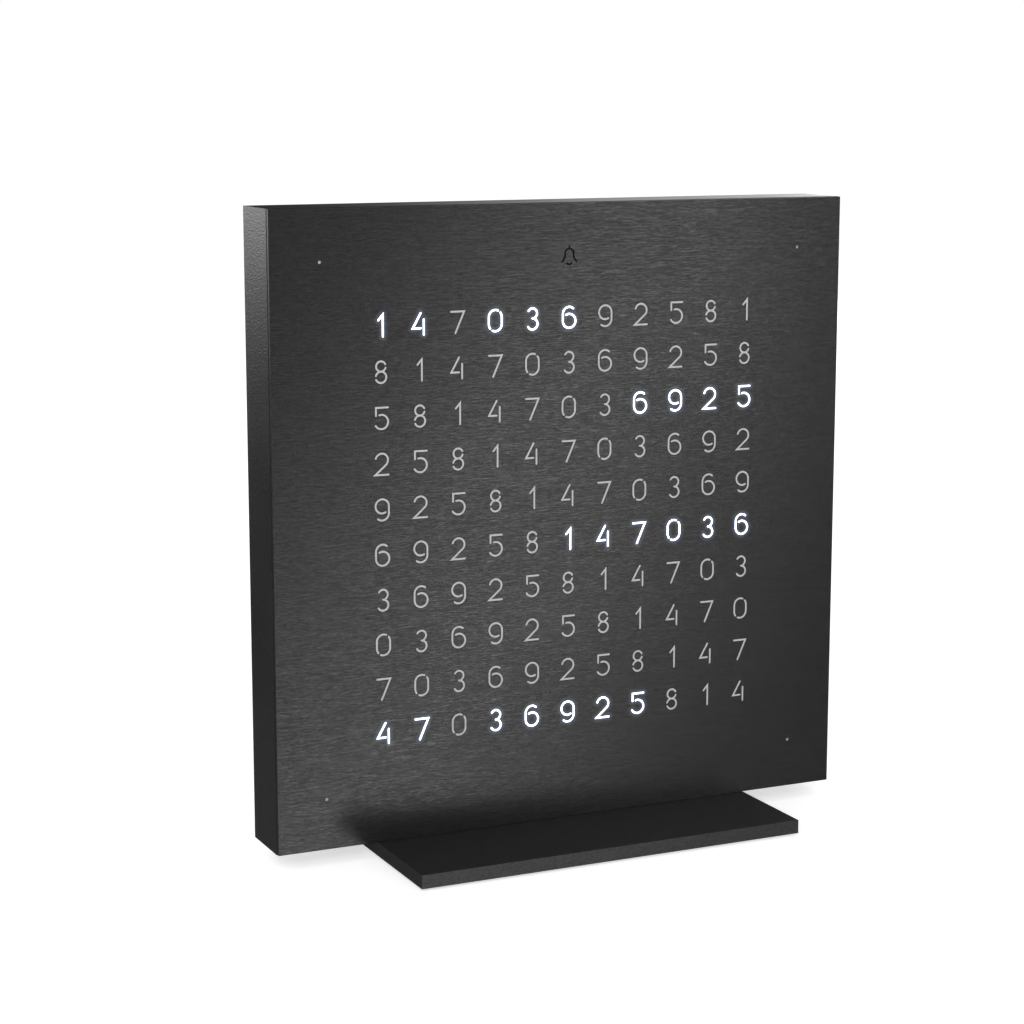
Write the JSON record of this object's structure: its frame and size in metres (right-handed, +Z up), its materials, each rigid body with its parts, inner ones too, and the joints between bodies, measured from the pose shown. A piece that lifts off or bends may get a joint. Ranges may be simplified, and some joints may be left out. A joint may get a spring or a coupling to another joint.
{
  "type": "word clock",
  "caption": "Square table clock that lights cut-out characters in a brushed steel face over a light grid, on a flat foot plate.",
  "frame": {"origin": "on the table, below the middle of the foot plate", "axes": "+X to the right as seen from the front, the face looks to -Y, +Z up"},
  "size_m": [0.135, 0.063, 0.1385],
  "materials": {
    "front_plate": "horizontally brushed, dark tinted steel",
    "opal_inlay": "opal acrylic sheet",
    "body_frame": "fine satin powder coat on aluminium",
    "frame_magnets": "nickel-plated",
    "diffuser_sheet": "frosted film",
    "light_grid": "moulded, matt",
    "led_board": "solder mask",
    "leds": "clear resin on white housings",
    "controller_chip": "moulded",
    "led_drivers": "moulded",
    "clock_chip": "moulded",
    "crystal": "satin can",
    "board_passives": "ceramic",
    "cell_holder": "moulded",
    "backup_cell": "plated steel can",
    "sounder": "moulded",
    "tact_switches": "moulded",
    "usb_socket": "plated shell",
    "usb_tongue": "moulded",
    "rear_panel": "fine textured",
    "rear_screws": "zinc-plated",
    "button_mode": "satin",
    "button_alarm": "satin",
    "button_minus": "satin",
    "button_plus": "satin",
    "foot_plate": "fine satin powder coat on steel",
    "foot_screws": "zinc-plated",
    "foot_pads": "matt"
  },
  "bodies": {
    "root": {"body_frame": "body_frame", "frame_magnets": "frame_magnets", "diffuser_sheet": "diffuser_sheet", "light_grid": "light_grid", "led_board": "led_board", "leds": "leds", "controller_chip": "controller_chip", "led_drivers": "led_drivers", "clock_chip": "clock_chip", "crystal": "crystal", "board_passives": "board_passives", "cell_holder": "cell_holder", "backup_cell": "backup_cell", "sounder": "sounder", "tact_switches": "tact_switches", "usb_socket": "usb_socket", "usb_tongue": "usb_tongue", "rear_panel": "rear_panel", "rear_screws": "rear_screws", "foot_plate": "foot_plate", "foot_screws": "foot_screws", "foot_pads": "foot_pads"},
    "cover": {"front_plate": "front_plate", "opal_inlay": "opal_inlay"},
    "button_mode": {"button_mode": "button_mode"},
    "button_alarm": {"button_alarm": "button_alarm"},
    "button_minus": {"button_minus": "button_minus"},
    "button_plus": {"button_plus": "button_plus"}
  },
  "joints": [
    {"name": "cover_pull", "type": "slide", "parent": "root", "child": "cover", "axis": [0, -1, 0], "range_m": [0, 0.03]},
    {"name": "button_mode_press", "type": "slide", "parent": "root", "child": "button_mode", "axis": [0, -1, 0], "range_m": [0, 0.0005], "stiffness_N_per_m": 1000},
    {"name": "button_alarm_press", "type": "slide", "parent": "root", "child": "button_alarm", "axis": [0, -1, 0], "range_m": [0, 0.0005], "stiffness_N_per_m": 1000},
    {"name": "button_minus_press", "type": "slide", "parent": "root", "child": "button_minus", "axis": [0, -1, 0], "range_m": [0, 0.0005], "stiffness_N_per_m": 1000},
    {"name": "button_plus_press", "type": "slide", "parent": "root", "child": "button_plus", "axis": [0, -1, 0], "range_m": [0, 0.0005], "stiffness_N_per_m": 1000}
  ]
}
